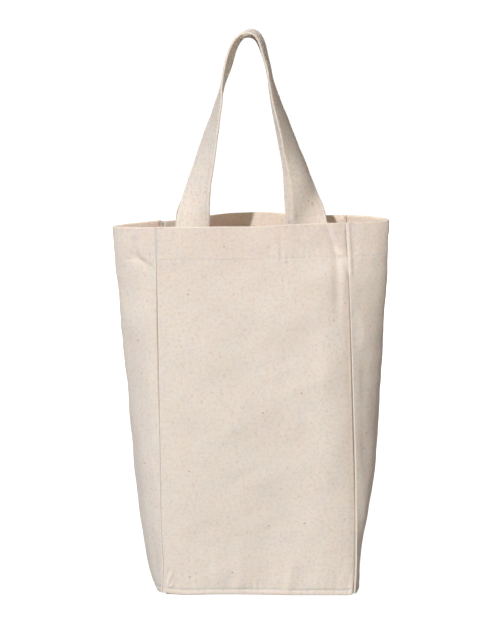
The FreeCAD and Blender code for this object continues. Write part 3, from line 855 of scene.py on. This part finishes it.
frontStrap, frontStrapFaces = makeStrap("frontStrap", "front_handle", "front_handle_ends", frontStrapLine, False,
                                        frontFaces[1], 101)
backStrap, backStrapFaces = makeStrap("backStrap", "back_handle", "back_handle_ends", backStrapLine, True,
                                      backFaces[1], 113)
print("straps made")

# stitching

stitchShape = {
    "length": 3.1, "gap": 0.75, "radius": 0.27, "sides": 6,
    "clear": 5,  # columns between a seam and the end of a row
    "profile": [  # share of the length, share of the radius, height over the cloth
        (0, 0.35, -0.20), (0.14, 0.9, 0.04), (0.5, 1.0, 0.16), (0.86, 0.9, 0.04), (1, 0.35, -0.20),
    ],
}


def stitchRow(line, outward, rows):  # adds one row of stitches along a line of points on the cloth
    walk = walked(*line.T)
    pitch = stitchShape["length"] + stitchShape["gap"]
    count = int(walk[-1] / pitch)
    start = (walk[-1] - count * pitch + stitchShape["gap"]) / 2
    ring = (np.arange(stitchShape["sides"]) * math.tau / stitchShape["sides"])[None, :, None]
    shares, thick, height = np.array(stitchShape["profile"]).T
    thick = (stitchShape["radius"] * thick)[:, None, None]
    for k in range(count):
        at = start + k * pitch + shares * stitchShape["length"]
        spot, up = [np.stack([np.interp(at, walk, values) for values in table.T], -1) for table in (line, outward)]
        up = unit(up)
        aside = np.cross(up, unit(np.gradient(spot, axis=0)))
        spot = spot + up * height[:, None]
        rows.append(spot[:, None] + thick * (np.cos(ring) * aside[:, None] + np.sin(ring) * up[:, None]))


def stitchPiece(name, rows):
    tubes = np.array(rows)
    count, rings, sides = tubes.shape[:3]
    place = np.arange(rings * sides).reshape(rings, sides)
    after = np.roll(place, -1, 1)
    skin = np.stack([place[:-1], after[:-1], after[1:], place[1:]], -1).reshape(-1, 4)
    fan = np.array([[0, k, k + 1, k + 2] for k in range(1, sides - 2, 2)])  # closes an end, for an even number of sides
    faces = np.concatenate([skin, place[0][-fan], place[-1][fan]])
    faces = (faces[None] + (np.arange(count) * rings * sides)[:, None, None]).reshape(-1, 4)
    uv = np.tile(np.stack([place % sides * 0.3, place // sides * 0.8], -1).reshape(-1, 2), (count, 1))
    piece = newMesh(name, tubes.reshape(-1, 3), faces, uv.astype(float), thread)
    return piece


hemStitches, baseStitches, strapStitches = [], [], {"front": [], "back": []}
for faceOut, faceIn, lead in (frontFaces, rightFaces, backFaces, leftFaces):
    away = faceOut - faceIn
    skip = lead + stitchShape["clear"]
    stitchRow(faceOut[hemRow, skip:-skip], away[hemRow, skip:-skip], hemStitches)
    stitchRow(faceIn[hemRow, skip + 3:-skip - 3], -away[hemRow, skip + 3:-skip - 3], hemStitches)
    stitchRow(faceOut[baseRow, skip:-skip], away[baseRow, skip:-skip], baseStitches)
for key, (faceOut, faceIn) in (("front", frontStrapFaces), ("back", backStrapFaces)):
    away = faceOut - faceIn
    edgeRow = strapShape["width"] / 2 - strapShape["edgeRow"]
    for place in (-edgeRow, edgeRow):
        column = int(np.argmin(abs(strapPlaces - place)))
        stitchRow(faceOut[2:-2, column], away[2:-2, column], strapStitches[key])
        stitchRow(faceIn[2:-2, column], -away[2:-2, column], strapStitches[key])
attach(stitchPiece("hemStitching", hemStitches), "bag")
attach(stitchPiece("baseStitching", baseStitches), "bag")
strapThreads = {key: stitchPiece(key + "StrapStitching", rows) for key, rows in strapStitches.items()}
print("stitches made:", len(hemStitches) + len(baseStitches), "on the bag")

# each strap is sewn to the bag below the rim; here each strap and its stitching have their placement baked into their
# points
for key, strap in (("front", frontStrap), ("back", backStrap)):
    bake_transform(strap)
    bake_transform(strapThreads[key])

# floor, light and camera

studio = {
    "floorFinish": {
        "Base Color": (0.325, 0.325, 0.325, 1),
        "Roughness": 1.0,
        "Specular IOR Level": 0.0,
        "Emission Color": (1, 1, 1, 1),
    },
    "floorLift": 0.905,  # brings the floor up to white where the camera sees it
    "floorHalf": 9.0,  # metres
    "floorHeight": -0.0002,
    "ambient": 0.075,
    "ambientColour": (1.0, 0.66, 0.32),
    "aimHeight": 0.2,
    "key": {"azimuth": -27.0, "height": 35.0, "strength": 2.69, "angle": 1.6, "colour": (0.965, 0.982, 1.0)},
    "lampDistance": 2.2,
    "soft": [  # name, azimuth, height, power, size in metres, colour
        ("front", 22.0, 12.0, 12.0, 1.2, (1.0, 0.915, 0.79)),
        ("left", -66.0, 54.0, 5.6, 1.0, (1.0, 0.985, 0.96)),
        ("behind", 178.0, 14.0, 40.0, 0.8, (1.0, 0.975, 0.94)),
    ],
}
viewpoint = {"distance": 2.5, "elevation": 9.6, "aim": (-0.0008, 0.0, 0.2325), "lens": 172.04, "sensor": 36}


def seenDirectly(tree):  # 1 where the camera sees a surface, also in a mirror or through glass
    rays = linkedNode(tree, "ShaderNodeLightPath").outputs
    seen = rays["Is Camera Ray"]
    for kind in ("Is Glossy Ray", "Is Transmission Ray"):
        seen = linkedNode(tree, "ShaderNodeMath", [(0, seen), (1, rays[kind])], operation="MAXIMUM").outputs[0]
    return seen


def makeFloor():
    half = studio["floorHalf"]
    mesh = bpy.data.meshes.new("floor")
    mesh.from_pydata([(-half, -half, 0), (half, -half, 0), (half, half, 0), (-half, half, 0)], [], [(0, 1, 2, 3)])
    floor = bpy.data.objects.new("floor", mesh)
    floor.location.z = studio["floorHeight"]
    scene.collection.objects.link(floor)
    material, tree, shader = newMaterial("paleFloor", studio["floorFinish"])
    lift = linkedNode(tree, "ShaderNodeMath", [(0, seenDirectly(tree)), (1, studio["floorLift"])], operation="MULTIPLY")
    tree.links.new(lift.outputs[0], shader.inputs["Emission Strength"])
    mesh.materials.append(material)


def makeWorld():
    world = bpy.data.worlds.new("studio")
    scene.world = world
    world.use_nodes = True
    tree = world.node_tree
    tree.nodes.clear()
    soft = linkedNode(tree, "ShaderNodeBackground", [(0, (*studio["ambientColour"], 1)), (1, studio["ambient"])])
    white = linkedNode(tree, "ShaderNodeBackground", [(0, (1, 1, 1, 1)), (1, 1.0)])
    shown = [(0, seenDirectly(tree)), (1, soft.outputs[0]), (2, white.outputs[0])]
    chosen = linkedNode(tree, "ShaderNodeMixShader", shown)
    linkedNode(tree, "ShaderNodeOutputWorld", [(0, chosen.outputs[0])])


def placed(data, aim, azimuth, height, distance):  # a light or the camera, turned to what it looks at
    a, e = math.radians(azimuth), math.radians(height)
    thing = bpy.data.objects.new(data.name, data)
    away = np.array([math.sin(a) * math.cos(e), -math.cos(a) * math.cos(e), math.sin(e)])
    thing.location = np.array(aim) + distance * away
    thing.rotation_euler = (math.pi / 2 - e, 0, a)
    scene.collection.objects.link(thing)
    return thing


def makeLights():
    aim, distance = (0, 0, studio["aimHeight"]), studio["lampDistance"]
    sun = studio["key"]
    key = bpy.data.lights.new("key", "SUN")
    key.energy = sun["strength"]
    key.angle = math.radians(sun["angle"])
    key.color = sun["colour"]
    placed(key, aim, sun["azimuth"], sun["height"], distance)
    for name, azimuth, height, power, size, colour in studio["soft"]:
        lamp = bpy.data.lights.new(name, "AREA")
        lamp.energy = power
        lamp.size = size
        lamp.color = colour
        placed(lamp, aim, azimuth, height, distance)


def makeCamera():
    camera = bpy.data.cameras.new("camera")
    camera.lens = viewpoint["lens"]
    camera.sensor_width = viewpoint["sensor"]
    scene.camera = placed(camera, viewpoint["aim"], 0, viewpoint["elevation"], viewpoint["distance"])


makeFloor()
makeWorld()
makeLights()
makeCamera()
scene.view_settings.view_transform = "Standard"
print("studio made")
